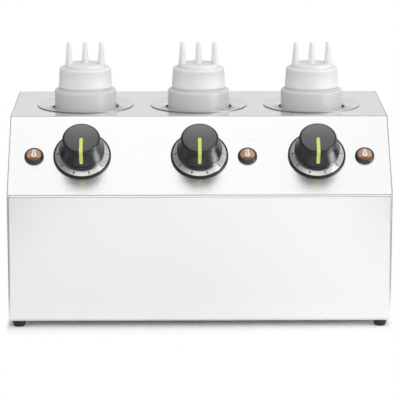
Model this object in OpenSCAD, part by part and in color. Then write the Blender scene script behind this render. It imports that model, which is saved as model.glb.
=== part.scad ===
/* [Casing] */
// Width across the two side panels
case_w = 420; // [410:5:480]
// Depth from the front panel to the rear panel
case_d = 247; // [240:1:275]
// Height of the top plate above the table
case_h = 221.5; // [214:0.5:236]
// Height of the seam between front panel and sloped fascia
seam_h = 149; // [138:0.5:155]
// Depth of the sloped fascia, measured level
slope_run = 82; // [76:1:88]
// Thickness of the stainless sheet
sheet_t = 1; // [0.8:0.1:1.4]
// Outside radius of the folds at the corners
fold_r = 2.5; // [2:0.1:3.5]
// Outside radius of the fold between top plate and fascia
brow_r = 5; // [3:0.5:8]
// Width of the joining flanges at the rear and inside
flange_w = 13; // [11:0.5:15]
// Width of the returns along the bottom edge
bottom_flange_w = 21; // [20:0.5:26]
// Gap between the fascia's lower edge and the front panel
seam_gap = 0.8; // [0.5:0.1:1.2]

/* [Feet] */
// Height of the rubber feet
foot_h = 7.6; // [5.6:0.1:12]
// Diameter of a foot at the top
foot_d = 15.5; // [14:0.5:18]
// Diameter of a foot at the table
foot_base_d = 12; // [11:0.5:14]
// Distance from a side panel to a foot's centre
foot_inset = 11; // [10.5:0.5:15]

/* [Wells] */
// Share of the free width that lies between neighbouring wells
well_share = 0.211; // [0.19:0.003:0.232]
// Distance from the brow back to the wells' centres
well_setback = 72.5; // [70:0.5:80]
// Diameter of a well's flange
well_flange_d = 110; // [106:1:114]
// Width of the flat rim that lies on the top plate
well_rim = 4; // [3:0.5:5]
// Angle of the dished flange below the level
dish_a = 5; // [3:0.5:9]
// Inside diameter of a well
well_d = 75; // [74.5:0.5:79]
// Height of a well's floor above the table
well_floor_h = 53; // [46:1:64]
// Thickness of the drawn well
well_t = 1; // [0.8:0.1:1.4]
// Radius between a well's wall and floor
well_floor_r = 7; // [5:0.5:9]

/* [Heating] */
// Height of a heater band
band_h = 60; // [50:1:66]
// Thickness of a heater band
band_t = 3; // [2:0.5:4]
// Diameter of a thermostat bulb
bulb_d = 6; // [5:0.5:7]
// Length of a thermostat bulb
bulb_len = 52; // [40:1:56]
// Diameter of a capillary tube
capillary_d = 2; // [1.6:0.2:2.4]

/* [Bottles] */
// Body diameter of a bottle
bottle_d = 70; // [66:0.5:71]
// Height of a bottle's shoulder above its foot
shoulder_h = 188.5; // [182:0.5:200]
// Wall of a bottle
bottle_t = 1.2; // [1:0.1:2]
// Outside diameter of the neck
neck_d = 54; // [51:0.2:54.4]
// Outside diameter of a cap at its lower edge
cap_d = 60.8; // [60.6:0.2:63]
// Height of a cap without its boss
cap_h = 22.2; // [20:0.1:26]
// Side draft of a cap, taken off its radius towards the top
cap_draft = 1.25; // [0.5:0.25:2]
// Thickness of a cap's wall
cap_t = 1.7; // [1.4:0.1:1.8]
// Number of grip ribs around a cap
cap_ribs = 72; // [48:4:90]
// Diameter of the raised boss on a cap
boss_d = 45; // [44:0.5:48]
// Height of the raised boss
boss_h = 3.8; // [3:0.2:6]
// Distance between neighbouring nozzles
nozzle_pitch = 18.3; // [17:0.1:18.4]
// Height of a nozzle above the boss
nozzle_h = 23.8; // [18:0.1:32]
// Diameter of a nozzle at its foot
nozzle_d = 8.2; // [7:0.2:8.4]
// Diameter of a nozzle at its tip
tip_d = 4.4; // [4:0.2:5]
// Diameter of the passage at a nozzle's tip
tip_bore = 2.6; // [2:0.1:3]

/* [Controls] */
// Distance up the slope from the seam to the knobs' centres
knob_up = 54; // [50:0.5:58]
// Diameter of a knob's head
knob_d = 41.6; // [38:0.2:44]
// Diameter of a knob's skirt
skirt_d = 49.6; // [47:0.2:52]
// Height of a knob's face above the fascia
knob_h = 33.5; // [30:0.5:37]
// Width of the pointer strip
pointer_w = 3.8; // [3:0.2:5]
// Diameter of the black base under the dial
dial_base_d = 63.4; // [62:0.2:66]
// Diameter of the silver dial ring
dial_d = 60.6; // [58:0.2:61]
// Diameter of a thermostat's shaft
shaft_d = 6; // [5:0.5:7]
// Distance from a knob's centre to its lamp
lamp_dx = 52.8; // [50:0.2:56]
// Distance up the slope from the seam to the lamps' centres
lamp_up = 53; // [50:0.5:58]
// Diameter of a lamp's bezel
bezel_d = 21.4; // [19:0.2:23]
// Diameter of a lamp's lens
lens_d = 16; // [14:0.2:16.4]
// Diameter of the hole for a lamp's body
lamp_hole_d = 14; // [12:0.5:14]

/* [Rear] */
// Distance from a side panel to the cord's gland
gland_in = 60; // [50:2:80]
// Height of the gland above the table
gland_z = 40; // [32:1:60]
// Bore of the gland
gland_bore = 8; // [6:0.5:9]
// Diameter of the gland's thread
gland_d = 16; // [14:0.5:18]
// Reach of the gland behind the rear panel
gland_out = 22; // [18:1:28]
// Diameter of the case screws
screw_d = 4; // [3:0.5:4.5]

/* [Hidden] */
$fn = 72;

steel = [0.86, 0.87, 0.88];
well_steel = [0.78, 0.79, 0.8];
black = [0.09, 0.09, 0.09];
rubber_black = [0.05, 0.05, 0.05];
milky = [0.9, 0.91, 0.92];

// Two parts that slide or turn in each other keep this gap all round
run_gap = 0.05;
// Room around a screw or a pushed-in part in its hole
hole_gap = 0.2;

half_w = case_w / 2;
front_y = -(case_d + gland_out) / 2;
inner_w = case_w - 2 * sheet_t;
shell_z = foot_h + sheet_t;
slope_a = atan2(case_h - seam_h, slope_run);
slope_len = norm([slope_run, case_h - seam_h]);

// Folds seen from the side, as [y, z] behind the front panel and above the table
brow_back = brow_r * tan(slope_a / 2);
brow_c = [slope_run + brow_back, case_h - brow_r];
seam_back = fold_r * tan((90 - slope_a) / 2);
chin_c = [fold_r, seam_h - seam_back];
up_slope = [cos(slope_a), sin(slope_a)];
off_slope = [-sin(slope_a), cos(slope_a)];
lap_c = [fold_r, seam_h - sheet_t / cos(slope_a) - seam_back];

// The rear returns, the cover's rear flange and the base's upstand share one plane
return_y = case_d - 2 * sheet_t;
// Room between two flanges at a corner
relief = 1;
return_x = half_w - fold_r - flange_w / 2;
tab_w = case_w - 2 * (fold_r + flange_w + relief);
rear_gap = 0.4;
// Flat that runs on past a fold into the panels it joins
fold_leg = 0.5;
pitch = well_flange_d + well_share * (case_w - 3 * well_flange_d);
rear_screw_at = concat(
    [for (side = [-1, 1]) for (k = [0.17, 0.5, 0.83])
        [side * return_x, shell_z + k * (case_h - shell_z)]],
    [for (side = [-1, 1]) for (z = [foot_h + fold_r + flange_w / 2, case_h - fold_r - flange_w / 2])
        [side * pitch / 2, z]]);
bottom_x = half_w - fold_r - bottom_flange_w / 2;
base_screw_at = concat(
    [for (side = [-1, 1]) for (k = [0.35, 0.65]) [side * bottom_x, k * case_d]],
    [for (side = [-1, 1]) [side * pitch, fold_r + bottom_flange_w / 2]]);
foot_at = [for (side = [-1, 1]) for (y = [foot_inset, case_d - sheet_t - fold_r - foot_inset])
    [side * (half_w - foot_inset), y]];
screw_r = screw_d / 2;
head_r = 0.95 * screw_d;
head_h = 0.6 * screw_d;
screw_len = 6;
foot_web = 2.4;
rear_slot_w = 4;
rear_slot_len = 30;
rear_slot_pitch = 9;
floor_slot_w = 4;
floor_slot_len = 44;
floor_slot_pitch = 10;

station_x = [for (i = [-1, 0, 1]) i * pitch];
lamp_side = [-1, 1, 1];
well_y = slope_run + well_setback;
well_r = well_d / 2;
rim_r = well_flange_d / 2;
rim_t = well_t;
dish_r = rim_r - well_rim;
lip_r = 8;
mouth_r = 3;
well_hole_r = dish_r + hole_gap;
retainer_w = 5;
retainer_t = 2;
floor_z = well_floor_h;

bottle_r = bottle_d / 2;
neck_r = neck_d / 2;
foot_edge_r = 5;
shoulder_r = 3.2;
cap_gap = 0.5;
seal_t = 1.2;
cap_lift = 1.8;
cap_z = shoulder_h + cap_lift;
cap_top_t = 1.8;
cap_in_r = neck_r + cap_gap;
neck_top = cap_z + cap_h - cap_top_t - seal_t;
cap_edge_r = 2.6;
cap_top_r = cap_d / 2 - cap_draft;
boss_in_r = boss_d / 2 - cap_t;
rib_out = 0.45;

dial_base_h = 2.4;
dial_recess = 0.5;
screw_seat = 0.8;
dial_ring_t = 1.2;
dial_in_d = skirt_d - 4;
knob_gap = 4.4;
knob_z = dial_base_h - dial_recess + dial_ring_t + knob_gap;
rim_round = 2.6;
groove_drop = 5.6;
groove_h = 1.5;
skirt_lip_h = 4.6;
pointer_rise = 0.35;
pointer_bed = 0.7;
pointer_top = 1;
pointer_foot = knob_z + 8.4;
hub_r = 6.2;
knob_wall = 2.2;
shaft_top = knob_h - 7;
shaft_low = -12;
flat_depth = 1.4;
bush_r = 4.6;
thermostat_screw_dx = 14;
thermostat_screw_r = 1.9;
thermostat_head_r = 3.4;
thermostat_head_h = 1.3;
thermostat_plate_w = 38;
thermostat_plate_h = 24;
thermostat_plate_t = 1.5;
thermostat_cup_r = 17;
thermostat_cup_h = 12;
thermostat_base_w = 34;
thermostat_base_h = 36;
terminal_t = 0.8;
terminal_w = 6.3;
terminal_len = 8;
terminal_pitch = 8;

bezel_h = 2.6;
lens_sink = 1.6;
lamp_depth = 26;
lens_rise = 2.4;
lamp_clip_w = 3;

band_z = floor_z + 12;
bulb_z = band_z + band_h + 5;
bulb_a = 235;
bulb_strap_t = 0.6;
bulb_strap_w = 8;
band_lug = 9;
band_slit = 5;
cutout_r = 8;
cutout_h = 9;
cutout_plate_t = 1.4;
thermostat_depth = 26;
tube_entry = [-12, -12];
tube_rise = 25;
tube_sag = 45;

gland_x = half_w - gland_in;
gland_inside = 9;
gland_hex_h = 4.5;
block_poles = 4;
block_pitch = 10;
block_d = 20;
block_h = 13;
block_foot_h = 3;
block_back = 62;

// Extrudes a side view, drawn as [y, z], across the width
module across(w) {
    rotate([90, 0, 90]) translate([0, 0, -w / 2]) linear_extrude(w) children();
}

// Extrudes a front view, drawn as [x, z], from y0 back to y1
module along(y0, y1) {
    translate([0, y1, 0]) rotate([90, 0, 0]) linear_extrude(y1 - y0) children();
}

// Folded edge seen along the fold, in the corner of positive x and y, with a short
// flat at both ends
module quarter_fold() {
    difference() {
        intersection() {
            circle(fold_r);
            square(fold_r);
        }
        circle(fold_r - sheet_t);
    }
    translate([-fold_leg, fold_r - sheet_t]) square([fold_leg, sheet_t]);
    translate([fold_r - sheet_t, -fold_leg]) square([sheet_t, fold_leg]);
}

// Puts children on the fascia's outer face: y runs up the slope, z stands out of it
module on_fascia(x = 0, up = 0) {
    translate([0, front_y, seam_h]) rotate([slope_a, 0, 0]) translate([x, up, 0]) children();
}

module at_stations(list = [0, 1, 2]) {
    for (i = list) translate([station_x[i], front_y + well_y, 0]) children();
}

// Lathe-turned solid from its profile, as [radius, height]
module turned(profile) {
    rotate_extrude() polygon(profile);
}

// Points of an arc in a profile
function arc(c, r, from_a, to_a, steps = 6) =
    [for (i = [0 : steps]) let (a = from_a + (to_a - from_a) * i / steps)
        c + r * [cos(a), sin(a)]];

// Pan-head screw, its head standing up from z = 0 and its shank below
module pan_screw(len, r = screw_r, hr = head_r, hh = head_h) {
    turned(concat([[0, -len], [r - 0.5, -len], [r, -len + 0.5], [r, 0], [hr, 0]],
                  arc([hr - 0.5 * hh, 0.5 * hh], 0.5 * hh, 0, 90, 4), [[0, hh]]));
}

module side_outline() {
    polygon([[0, shell_z], [0, chin_c.y], seam_back * up_slope + [0, seam_h],
             brow_c + brow_r * off_slope, [brow_c.x, case_h],
             [case_d, case_h], [case_d, shell_z]]);
    translate(chin_c) circle(fold_r);
    translate(brow_c) circle(brow_r);
}

// Front panel and both sides, folded from one sheet, with returns at the rear and below
module body_shell() {
    color(steel) translate([0, front_y, 0]) difference() {
        union() {
            side_walls();
            rear_returns();
            front_panel();
            bottom_returns();
        }
        for (p = rear_screw_at) translate([p.x, case_d, p.y])
            rotate([90, 0, 0]) cylinder(r = screw_r + run_gap, h = 4 * sheet_t);
        for (p = concat(base_screw_at, foot_at)) translate([p.x, p.y, foot_h])
            cylinder(r = screw_r + run_gap, h = 4 * sheet_t);
    }
}

// Front corners seen from the side, under the cover's sheet
module corner_outline() {
    lap = lap_c + fold_r * off_slope;
    polygon([[0, shell_z], [0, lap_c.y], lap, lap + 2 * fold_r * up_slope,
             [lap.x + 2 * fold_r * up_slope.x, shell_z]]);
    translate(lap_c) circle(fold_r);
}

module side_walls() {
    low = shell_z + fold_r;
    intersection() {
        translate([0, 0, low]) linear_extrude(case_h - low)
            for (side = [0, 1]) mirror([side, 0]) translate([half_w - sheet_t, fold_r])
                square([sheet_t, case_d - sheet_t - 2 * fold_r]);
        across(case_w) side_outline();
    }
    intersection() {
        translate([0, 0, low]) linear_extrude(seam_h - low)
            for (side = [0, 1]) mirror([side, 0]) translate([half_w - fold_r, fold_r])
                rotate(-90) quarter_fold();
        across(case_w) corner_outline();
    }
}

module rear_returns() {
    low = shell_z + fold_r;
    translate([0, 0, low]) linear_extrude(case_h - fold_r - rear_gap - low)
        for (side = [0, 1]) mirror([side, 0]) {
            translate([half_w - fold_r, case_d - sheet_t - fold_r]) quarter_fold();
            translate([half_w - fold_r - flange_w, return_y]) square([flange_w, sheet_t]);
        }
}

// The panel's top edge folds back under the fascia, and its lower edge folds inwards
module front_panel() {
    panel_w = case_w - 2 * fold_r;
    across(panel_w) {
        translate([0, shell_z + fold_r]) square([sheet_t, lap_c.y - shell_z - fold_r]);
        translate([fold_r, shell_z + fold_r]) rotate(180) quarter_fold();
    }
    bend = 90 + slope_a;
    flat = flange_w * up_slope;
    across(panel_w - 2 * (fold_leg + rear_gap)) polygon(concat(
        [[0, seam_h / 2]], arc(lap_c, fold_r, 180, bend, 8),
        [lap_c + fold_r * off_slope + flat, lap_c + (fold_r - sheet_t) * off_slope + flat],
        arc(lap_c, fold_r - sheet_t, bend, 180, 8), [[sheet_t, seam_h / 2]]));
    across(case_w - 2 * (fold_r + bottom_flange_w + relief)) translate([fold_r, shell_z])
        square([bottom_flange_w, sheet_t]);
}

module bottom_returns() {
    along(fold_r + relief, case_d - sheet_t - fold_r)
        for (side = [0, 1]) mirror([side, 0]) {
            translate([half_w - fold_r, shell_z + fold_r]) rotate(-90) quarter_fold();
            translate([half_w - fold_r - bottom_flange_w, shell_z])
                square([bottom_flange_w, sheet_t]);
        }
}

// Everything below the cover's outer face, less a skin, seen from the side
module under_cover(skin, low, over) {
    deep = 2 * flange_w + over;
    bisector = [tan(slope_a / 2), -1];
    arc_r = brow_r - skin;
    top_end = case_d - sheet_t - fold_r + over;
    corner = [slope_run, case_h];
    brow = arc_r > 0 ? [brow_c + arc_r * off_slope, brow_c + [0, arc_r]]
                     : [corner + skin * bisector];
    polygon(concat([[0, seam_h] + low * up_slope - skin * off_slope], brow,
                   [[top_end, case_h - skin], [top_end, case_h - deep], corner + deep * bisector,
                    [0, seam_h] + low * up_slope - deep * off_slope]));
    if (arc_r > 0) translate(brow_c) circle(arc_r);
}

// Band of the cover seen from the side, between two depths below its face
module cover_band(skin, depth, low) {
    difference() {
        under_cover(skin, low, 0);
        under_cover(depth, low - 1, 1);
    }
}

// Top plate and sloped fascia, folded from one sheet and laid between the side panels
module top_fascia() {
    color(steel) difference() {
        union() {
            translate([0, front_y, 0]) {
                across(inner_w) cover_band(0, sheet_t, seam_gap);
                for (side = [-1, 1]) translate([side * (inner_w - sheet_t) / 2, 0, 0])
                    across(sheet_t) cover_band(sheet_t / 2, flange_w, 2 * fold_r);
                across(tab_w) {
                    translate([case_d - sheet_t - fold_r, case_h - fold_r]) quarter_fold();
                    translate([return_y, case_h - fold_r - flange_w])
                        square([sheet_t, flange_w]);
                }
            }
        }
        at_stations() translate([0, 0, case_h - 2 * sheet_t])
            cylinder(r = well_hole_r, h = 4 * sheet_t);
        for (i = [0 : 2]) {
            on_fascia(station_x[i], knob_up) translate([0, 0, -2 * sheet_t]) {
                cylinder(r = bush_r + hole_gap, h = 4 * sheet_t);
                for (side = [-1, 1]) translate([side * thermostat_screw_dx, 0, 0])
                    cylinder(r = thermostat_screw_r + hole_gap, h = 4 * sheet_t);
            }
            on_fascia(station_x[i] + lamp_side[i] * lamp_dx, lamp_up)
                translate([0, 0, -2 * sheet_t]) cylinder(d = lamp_hole_d, h = 4 * sheet_t);
        }
        for (p = rear_screw_at) translate([p.x, front_y + case_d, p.y])
            rotate([90, 0, 0]) cylinder(r = screw_r + run_gap, h = 4 * sheet_t);
    }
}

// Slot with round ends, standing up
module slot(w, len) {
    translate([-w / 2, w / 2 - len / 2]) square([w, len - w]);
    for (side = [-1, 1]) translate([0, side * (len - w) / 2]) circle(w / 2);
}

// Flat rear panel with a group of air slots behind each well
module rear_panel() {
    edge = half_w - fold_r - rear_gap;
    low = foot_h + fold_r;
    top = case_h - fold_r - rear_gap;
    color(steel) translate([0, front_y, 0]) along(case_d - sheet_t, case_d) difference() {
        translate([-edge, low]) square([2 * edge, top - low]);
        for (x = station_x) for (k = [-3.5 : 3.5]) for (z = [0.45, 0.72])
            translate([x + k * rear_slot_pitch, z * case_h]) slot(rear_slot_w, rear_slot_len);
        for (p = rear_screw_at) translate(p) circle(screw_r + run_gap);
        translate([gland_x, gland_z]) circle(gland_d / 2 + hole_gap);
    }
}

// Floor of the casing, with its rear edge turned up inside the rear panel
module base_plate() {
    edge = half_w - fold_r;
    color(steel) translate([0, front_y, 0]) difference() {
        union() {
            translate([-edge, fold_r, foot_h])
                cube([2 * edge, case_d - sheet_t - 2 * fold_r, sheet_t]);
            across(tab_w) {
                translate([case_d - sheet_t - fold_r, foot_h + fold_r]) rotate(-90)
                    quarter_fold();
                translate([return_y, foot_h + fold_r]) square([sheet_t, flange_w]);
            }
        }
        for (x = station_x) for (k = [-2.5 : 2.5])
            translate([x + k * floor_slot_pitch, well_y, foot_h - sheet_t])
                linear_extrude(3 * sheet_t) slot(floor_slot_w, floor_slot_len);
        for (p = concat(base_screw_at, foot_at)) translate([p.x, p.y, foot_h - sheet_t])
            cylinder(r = screw_r + run_gap, h = 4 * sheet_t);
        for (p = rear_screw_at) translate([p.x, case_d, p.y])
            rotate([90, 0, 0]) cylinder(r = screw_r + run_gap, h = 4 * sheet_t);
    }
}

// Tapered rubber feet, each with a counterbore for its screw
module feet() {
    color(rubber_black) for (p = foot_at) translate([p.x, front_y + p.y, 0]) turned([
        [screw_r + run_gap, foot_h], [foot_d / 2, foot_h], [foot_d / 2, foot_h - 1.2],
        [foot_base_d / 2, 0.6], [foot_base_d / 2 - 0.6, 0], [head_r + hole_gap, 0],
        [head_r + hole_gap, foot_h - foot_web], [screw_r + run_gap, foot_h - foot_web]]);
}

module foot_screws() {
    color(well_steel) for (p = foot_at) translate([p.x, front_y + p.y, foot_h - foot_web])
        mirror([0, 0, 1]) pan_screw(foot_web + screw_len);
}

module base_screws() {
    color(well_steel) for (p = base_screw_at) translate([p.x, front_y + p.y, foot_h])
        mirror([0, 0, 1]) pan_screw(screw_len);
}

module rear_screws() {
    color(well_steel) for (p = rear_screw_at) translate([p.x, front_y + case_d, p.y])
        rotate([-90, 0, 0]) pan_screw(screw_len);
}

// Inside face of a well from its rim to the middle of its floor, shifted out by g
function well_face(g) = concat(
    arc([dish_r, rim_t - lip_r], lip_r + g, 90, 90 + dish_a, 2),
    arc([well_r + mouth_r, mouth_z()], mouth_r + g, 90 + dish_a, 180, 6),
    arc([well_r - well_floor_r, floor_z - case_h + well_floor_r], well_floor_r - g, 0, -90, 6),
    [[0, floor_z - case_h + g]]);

// Height of the mouth's rounding centre under the top plate
function mouth_z() =
    let (from = [dish_r, rim_t - lip_r] + lip_r * [-sin(dish_a), cos(dish_a)],
         run = from.x - (well_r + mouth_r - mouth_r * sin(dish_a)))
    from.y - run * tan(dish_a) - mouth_r * cos(dish_a);

// Deep-drawn well with a dished flange whose rim lies on the top plate
module well(i) {
    face = well_face(0);
    back = well_face(-well_t);
    color(well_steel) at_stations([i]) translate([0, 0, case_h]) turned(concat(
        [[rim_r, 0], [rim_r, rim_t - 0.5], [rim_r - 0.5, rim_t]], face,
        [for (k = [len(back) - 1 : -1 : 0]) back[k]]));
}

// Rings welded under the top plate around the wells
module well_retainers() {
    color(well_steel) at_stations() translate([0, 0, case_h - sheet_t - retainer_t])
        difference() {
            cylinder(r = well_hole_r + retainer_w, h = retainer_t);
            translate([0, 0, -1]) cylinder(r = well_hole_r + hole_gap, h = retainer_t + 2);
        }
}

// Heater band clamped around a well, with its two lugs at the back
module heater_band(i) {
    r = well_r + well_t;
    depth = band_t + band_lug;
    color("peru") at_stations([i]) translate([0, 0, band_z]) difference() {
        union() {
            cylinder(r = r + band_t, h = band_h);
            translate([-band_slit / 2 - band_t, r, 0])
                cube([band_slit + 2 * band_t, depth, band_h]);
        }
        translate([0, 0, -1]) cylinder(r = r, h = band_h + 2);
        translate([-band_slit / 2, r - 1, -1]) cube([band_slit, depth + 2, band_h + 2]);
        for (k = [0.2, 0.8])
            translate([-2 * band_slit, r + band_t + band_lug / 2, k * band_h])
                rotate([0, 90, 0]) cylinder(r = screw_r + run_gap, h = 4 * band_slit);
    }
}

module band_screws() {
    color(steel) at_stations() for (k = [0.2, 0.8])
        translate([band_slit / 2 + band_t, well_r + well_t + band_t + band_lug / 2,
                   band_z + k * band_h])
            rotate([0, 90, 0]) pan_screw(band_slit + 2 * band_t + 2);
}

// Flat terminal standing out below z = 0, with its root 1 mm above
module terminal(x) {
    translate([x - terminal_t / 2, -terminal_w / 2, -terminal_len])
        cube([terminal_t, terminal_w, terminal_len + 1]);
}

// Over-temperature cut-outs fixed under the wells' floors
module thermal_cutouts() {
    color("black") at_stations() translate([0, 0, floor_z - well_t]) {
        translate([0, 0, -cutout_plate_t]) cylinder(r = cutout_r + 2, h = cutout_plate_t);
        translate([0, 0, -cutout_h]) {
            cylinder(r = cutout_r, h = cutout_h);
            for (side = [-1, 1]) terminal(side * terminal_pitch / 2);
        }
    }
}

// Capillary thermostat: a plate behind the fascia, a steel cup and a terminal base
module thermostat(i) {
    color("silver") on_fascia(station_x[i], knob_up) translate([0, 0, -sheet_t]) difference() {
        union() {
            translate([0, 0, -thermostat_plate_t / 2])
                cylinder(r = bush_r, h = sheet_t + thermostat_plate_t / 2);
            translate([-thermostat_plate_w / 2, -thermostat_plate_h / 2, -thermostat_plate_t])
                cube([thermostat_plate_w, thermostat_plate_h, thermostat_plate_t]);
            translate([0, 0, -thermostat_cup_h - 1])
                cylinder(r = thermostat_cup_r, h = thermostat_cup_h);
            translate([-thermostat_base_w / 2, -thermostat_base_h / 2, -thermostat_depth])
                cube([thermostat_base_w, thermostat_base_h, thermostat_depth - thermostat_cup_h]);
            for (k = [-1.5 : 1.5]) translate([0, 0, -thermostat_depth]) terminal(k * terminal_pitch);
        }
        translate([0, 0, shaft_low + sheet_t - 0.5])
            cylinder(r = shaft_d / 2 + run_gap, h = 20);
        for (side = [-1, 1]) translate([side * thermostat_screw_dx, 0, -8])
            cylinder(r = thermostat_screw_r + run_gap, h = 10);
    }
}

// Two screws through each dial base and the fascia into the thermostat's plate
module thermostat_screws() {
    color("silver") for (x = station_x) on_fascia(x, knob_up) for (side = [-1, 1])
        translate([side * thermostat_screw_dx, 0, screw_seat])
            pan_screw(screw_len, thermostat_screw_r, thermostat_head_r, thermostat_head_h);
}

// Route of a capillary tube, from the well's centre: up out of its bulb, then down and
// forward into the back of its thermostat
function capillary_route(steps = 14) =
    let (b = well_r + well_t + bulb_d / 2, out = [0, off_slope.x, off_slope.y],
         start = [b * cos(bulb_a), b * sin(bulb_a), bulb_z + bulb_len - 1],
         entry = [tube_entry.x, -well_y, seam_h]
                 + (knob_up + tube_entry.y) * [0, up_slope.x, up_slope.y]
                 - (sheet_t + thermostat_depth) * out,
         end = entry - 2 * out)
    concat([for (k = [0 : steps]) let (q = k / steps)
        pow(1 - q, 3) * start + 3 * q * pow(1 - q, 2) * (start + [0, 0, tube_rise])
        + 3 * q * q * (1 - q) * (end - tube_sag * out) + pow(q, 3) * end], [entry]);

// Tube swept along a route of points, with rings square to the path
module swept_tube(points, r, sides = 8) {
    n = len(points);
    rings = [for (k = [0 : n - 1])
        let (d = points[min(k + 1, n - 1)] - points[max(k - 1, 0)], t = d / norm(d),
             u = cross(t, abs(t.x) < 0.8 ? [1, 0, 0] : [0, 1, 0]), e = u / norm(u), f = cross(t, e))
        [for (s = [0 : sides - 1]) points[k] + r * (cos(360 * s / sides) * e + sin(360 * s / sides) * f)]];
    polyhedron([for (ring = rings) each ring], concat(
        [[for (s = [0 : sides - 1]) s]],
        [[for (s = [sides - 1 : -1 : 0]) (n - 1) * sides + s]],
        [for (k = [0 : n - 2]) for (s = [0 : sides - 1])
            let (a = k * sides + s, b = k * sides + (s + 1) % sides)
            each [[a, a + sides, b + sides], [a, b + sides, b]]]));
}

// Sensing bulb against the well, and the thin tube that joins it to the thermostat
module capillary(i) {
    b = well_r + well_t + bulb_d / 2;
    color("darkgoldenrod") at_stations([i]) {
        translate([b * cos(bulb_a), b * sin(bulb_a), bulb_z]) turned(concat(
            [[0, 0]], arc([bulb_d / 2 - 1, 1], 1, -90, 0, 3),
            arc([bulb_d / 2 - 1, bulb_len - 1], 1, 0, 90, 3), [[0, bulb_len]]));
        swept_tube(capillary_route(), capillary_d / 2);
    }
}

// Spring straps that hold the bulbs against the wells
module bulb_clips() {
    r = well_r + well_t;
    b = r + bulb_d / 2;
    color("silver") at_stations() for (k = [0.25, 0.75])
        translate([0, 0, bulb_z + k * bulb_len - bulb_strap_w / 2]) difference() {
            union() {
                cylinder(r = r + bulb_strap_t, h = bulb_strap_w);
                translate([b * cos(bulb_a), b * sin(bulb_a), 0])
                    cylinder(r = bulb_d / 2 + bulb_strap_t, h = bulb_strap_w);
            }
            translate([0, 0, -1]) cylinder(r = r, h = bulb_strap_w + 2);
            translate([b * cos(bulb_a), b * sin(bulb_a), -1])
                cylinder(d = bulb_d, h = bulb_strap_w + 2);
        }
}

// Black base disc behind each dial, with pockets for the thermostat's screws
module dial_base(i) {
    color(black) on_fascia(station_x[i], knob_up) difference() {
        turned(concat([[bush_r + hole_gap, 0]], arc([dial_base_d / 2 - 0.6, 0.6], 0.6, -90, 0, 3),
                      arc([dial_base_d / 2 - 1, dial_base_h - 1], 1, 0, 90, 4),
                      [[dial_d / 2, dial_base_h], [dial_d / 2, dial_base_h - dial_recess],
                       [dial_in_d / 2, dial_base_h - dial_recess], [dial_in_d / 2, dial_base_h],
                       [bush_r + hole_gap, dial_base_h]]));
        for (side = [-1, 1]) translate([side * thermostat_screw_dx, 0, 0]) {
            translate([0, 0, -1]) cylinder(r = thermostat_screw_r + hole_gap, h = 4);
            translate([0, 0, screw_seat]) cylinder(r = thermostat_head_r + hole_gap, h = 4);
        }
    }
}

// Silver ring that carries the scale
module dial_ring(i) {
    color([0.75, 0.75, 0.75]) on_fascia(station_x[i], knob_up)
        translate([0, 0, dial_base_h - dial_recess]) turned([
            [dial_in_d / 2, 0], [dial_d / 2, 0], [dial_d / 2, dial_ring_t - 0.4],
            [dial_d / 2 - 0.4, dial_ring_t], [dial_in_d / 2, dial_ring_t]]);
}

// Thermostat shaft with the flat that drives the knob
module shaft(i) {
    color("silver") on_fascia(station_x[i], knob_up) difference() {
        translate([0, 0, shaft_low]) cylinder(d = shaft_d, h = shaft_top - shaft_low);
        translate([-shaft_d, shaft_d / 2 - flat_depth, knob_z + 4])
            cube([2 * shaft_d, shaft_d, shaft_top]);
    }
}

// Outline of a knob from its face to its lower edge, moved outwards by g: a rounded head,
// a groove under it, a flared skirt and a straight lip
function knob_outline(g) =
    let (head_r = knob_d / 2, skirt_r = skirt_d / 2, groove_z = knob_h - groove_drop,
         flare_z = groove_z - groove_h, low = knob_z + skirt_lip_h, flare = skirt_r - head_r - 0.4)
    concat([[0, knob_h + g]],
           arc([head_r - rim_round, knob_h - rim_round], rim_round + g, 90, 0, 5),
           [[head_r + g, groove_z], [head_r - 0.5 + g, groove_z - 0.4],
            [head_r - 0.5 + g, flare_z + 0.4], [head_r - 0.1 + g, flare_z]],
           [for (k = [1 : 6]) let (q = k / 6)
               [head_r - 0.1 + flare * pow(q, 1.35) + g, flare_z + (low - flare_z) * q]],
           [[skirt_r + g, low - 0.4], [skirt_r + g, knob_z + 0.5], [skirt_r - 0.5 + g, knob_z],
            [0, knob_z]]);

// Strip with round ends, seen from the front and from above, outside the knob less its bed
module pointer_space(bed) {
    r = pointer_w / 2;
    difference() {
        intersection() {
            linear_extrude(2 * knob_h) {
                translate([0, -pointer_top - r]) circle(r);
                translate([-r, -skirt_d]) square([pointer_w, skirt_d - pointer_top - r]);
            }
            rotate([90, 0, 0]) linear_extrude(skirt_d) {
                translate([0, pointer_foot + r]) circle(r);
                translate([-r, pointer_foot + r]) square([pointer_w, knob_h]);
            }
        }
        turned(knob_outline(-bed));
    }
}

// Moulded knob, hollow under its skirt, with a hub for the shaft
module knob(i) {
    hollow_r = knob_d / 2 - knob_wall;
    color(black) on_fascia(station_x[i], knob_up) difference() {
        turned(knob_outline(0));
        translate([0, 0, -1]) difference() {
            turned([[0, 0], [skirt_d / 2 - knob_wall, 0], [skirt_d / 2 - knob_wall, knob_z + 3.4],
                    [hollow_r, knob_z + 12], [hollow_r, knob_h - 5], [0, knob_h - 5]]);
            cylinder(r = hub_r, h = knob_h);
            for (a = [45 : 90 : 315]) rotate(a)
                translate([hub_r - 1, -0.8, knob_z + 4]) cube([skirt_d, 1.6, knob_h]);
        }
        difference() {
            cylinder(r = shaft_d / 2 + run_gap, h = shaft_top + run_gap);
            translate([-shaft_d, shaft_d / 2 - flat_depth + run_gap, knob_z + 4])
                cube([2 * shaft_d, shaft_d, shaft_top]);
        }
        pointer_space(pointer_bed);
    }
}

// Coloured strip let into the knob, from the middle of its face down its skirt
module knob_pointer(i) {
    color([0.8, 0.86, 0.4]) on_fascia(station_x[i], knob_up) intersection() {
        pointer_space(pointer_bed);
        turned(knob_outline(pointer_rise));
    }
}

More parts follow.
